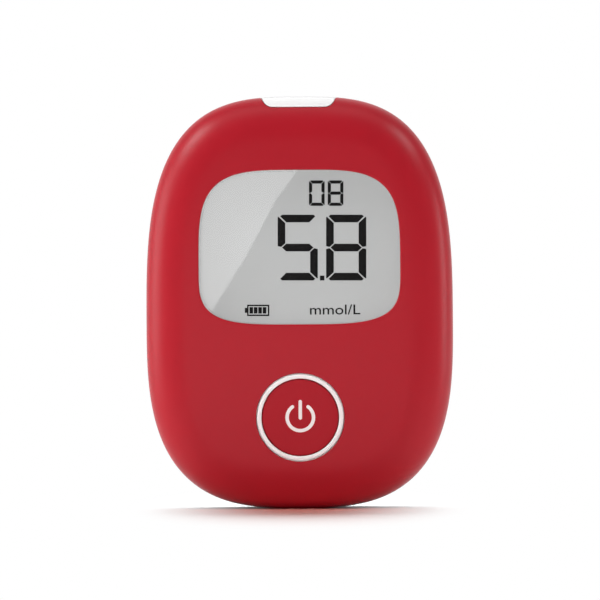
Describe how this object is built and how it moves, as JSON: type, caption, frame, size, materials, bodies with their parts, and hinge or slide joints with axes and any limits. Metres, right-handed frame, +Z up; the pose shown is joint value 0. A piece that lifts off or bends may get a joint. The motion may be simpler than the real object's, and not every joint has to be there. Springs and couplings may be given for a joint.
{
  "type": "blood glucose meter",
  "caption": "Handheld blood glucose meter with a rounded case, recessed display window, ringed push button, strip port in a notch at the top and a battery cover on the back.",
  "frame": {"origin": "centre of the lowest edge of the case, halfway through its thickness", "axes": "+Z up the face from the button to the strip port, display and button facing -Y, back flat facing +Y, +X to the right as the display is read"},
  "size_m": [0.0642, 0.022, 0.0862],
  "materials": {
    "red_cover": "soft-touch moulded plastic, fine matte",
    "red_button": "moulded plastic, satin",
    "white_shell": "moulded plastic, fine matte",
    "white_ring": "moulded plastic, smooth",
    "clear_window": "clear moulded acrylic, polished",
    "display_glass": "liquid crystal glass with a matte grey polariser",
    "reflector_foil": "foil, diffuse",
    "black_foam": "closed-cell foam",
    "grey_elastomer": "silicone elastomer",
    "frame_plastic": "moulded plastic",
    "circuit_board": "glass-fibre board with solder mask",
    "black_plastic": "moulded plastic, fine matte",
    "steel": "nickel-plated",
    "gold_contact": "gold-plated",
    "cell_jacket": "printed foil sleeve"
  },
  "bodies": {
    "housing": {"front_cover": "red_cover", "rear_cover": "white_shell", "strip_port": "white_shell", "button_ring": "white_ring", "display_window": "clear_window", "lcd_panel": "display_glass", "lcd_reflector": "reflector_foil", "lcd_dust_gasket": "black_foam", "zebra_connector_lower": "grey_elastomer", "zebra_connector_upper": "grey_elastomer", "lcd_holder": "frame_plastic", "circuit_board": "circuit_board", "main_chip": "black_plastic", "analog_chip": "black_plastic", "memory_chip": "black_plastic", "buzzer": "black_plastic", "strip_connector": "black_plastic", "clock_crystal": "steel", "tact_switch": "steel", "bridge_contact": "steel", "plus_contact": "steel", "minus_contact": "steel", "battery_spring_left": "steel", "battery_spring_right": "steel", "ejector_spring": "steel", "housing_screw_1": "steel", "housing_screw_2": "steel", "housing_screw_3": "steel", "housing_screw_4": "steel", "board_screw_1": "steel", "board_screw_2": "steel", "strip_contact_1": "gold_contact", "strip_contact_2": "gold_contact", "strip_contact_3": "gold_contact", "strip_contact_4": "gold_contact", "battery_left": "cell_jacket", "battery_right": "cell_jacket"},
    "button": {"button_cap": "red_button", "switch_plunger": "black_plastic"},
    "battery_door": {"battery_cover": "white_shell"},
    "ejector": {"ejector_slider": "white_shell"}
  },
  "joints": [
    {"name": "button_press", "type": "slide", "parent": "housing", "child": "button", "axis": [0, 1, 0], "range_m": [0, 0.0005], "stiffness_N_per_m": 3000, "springref_m": -0.0001},
    {"name": "battery_cover_tilt", "type": "hinge", "parent": "housing", "child": "battery_door", "pos_m": [0, 0.0108, 0.0095], "axis": [-1, 0, 0], "range_deg": [0, 60]},
    {"name": "strip_eject", "type": "slide", "parent": "housing", "child": "ejector", "axis": [0, 0, 1], "range_m": [0, 0.004], "stiffness_N_per_m": 200, "springref_m": -0.003, "deforming": ["ejector_spring"]}
  ]
}
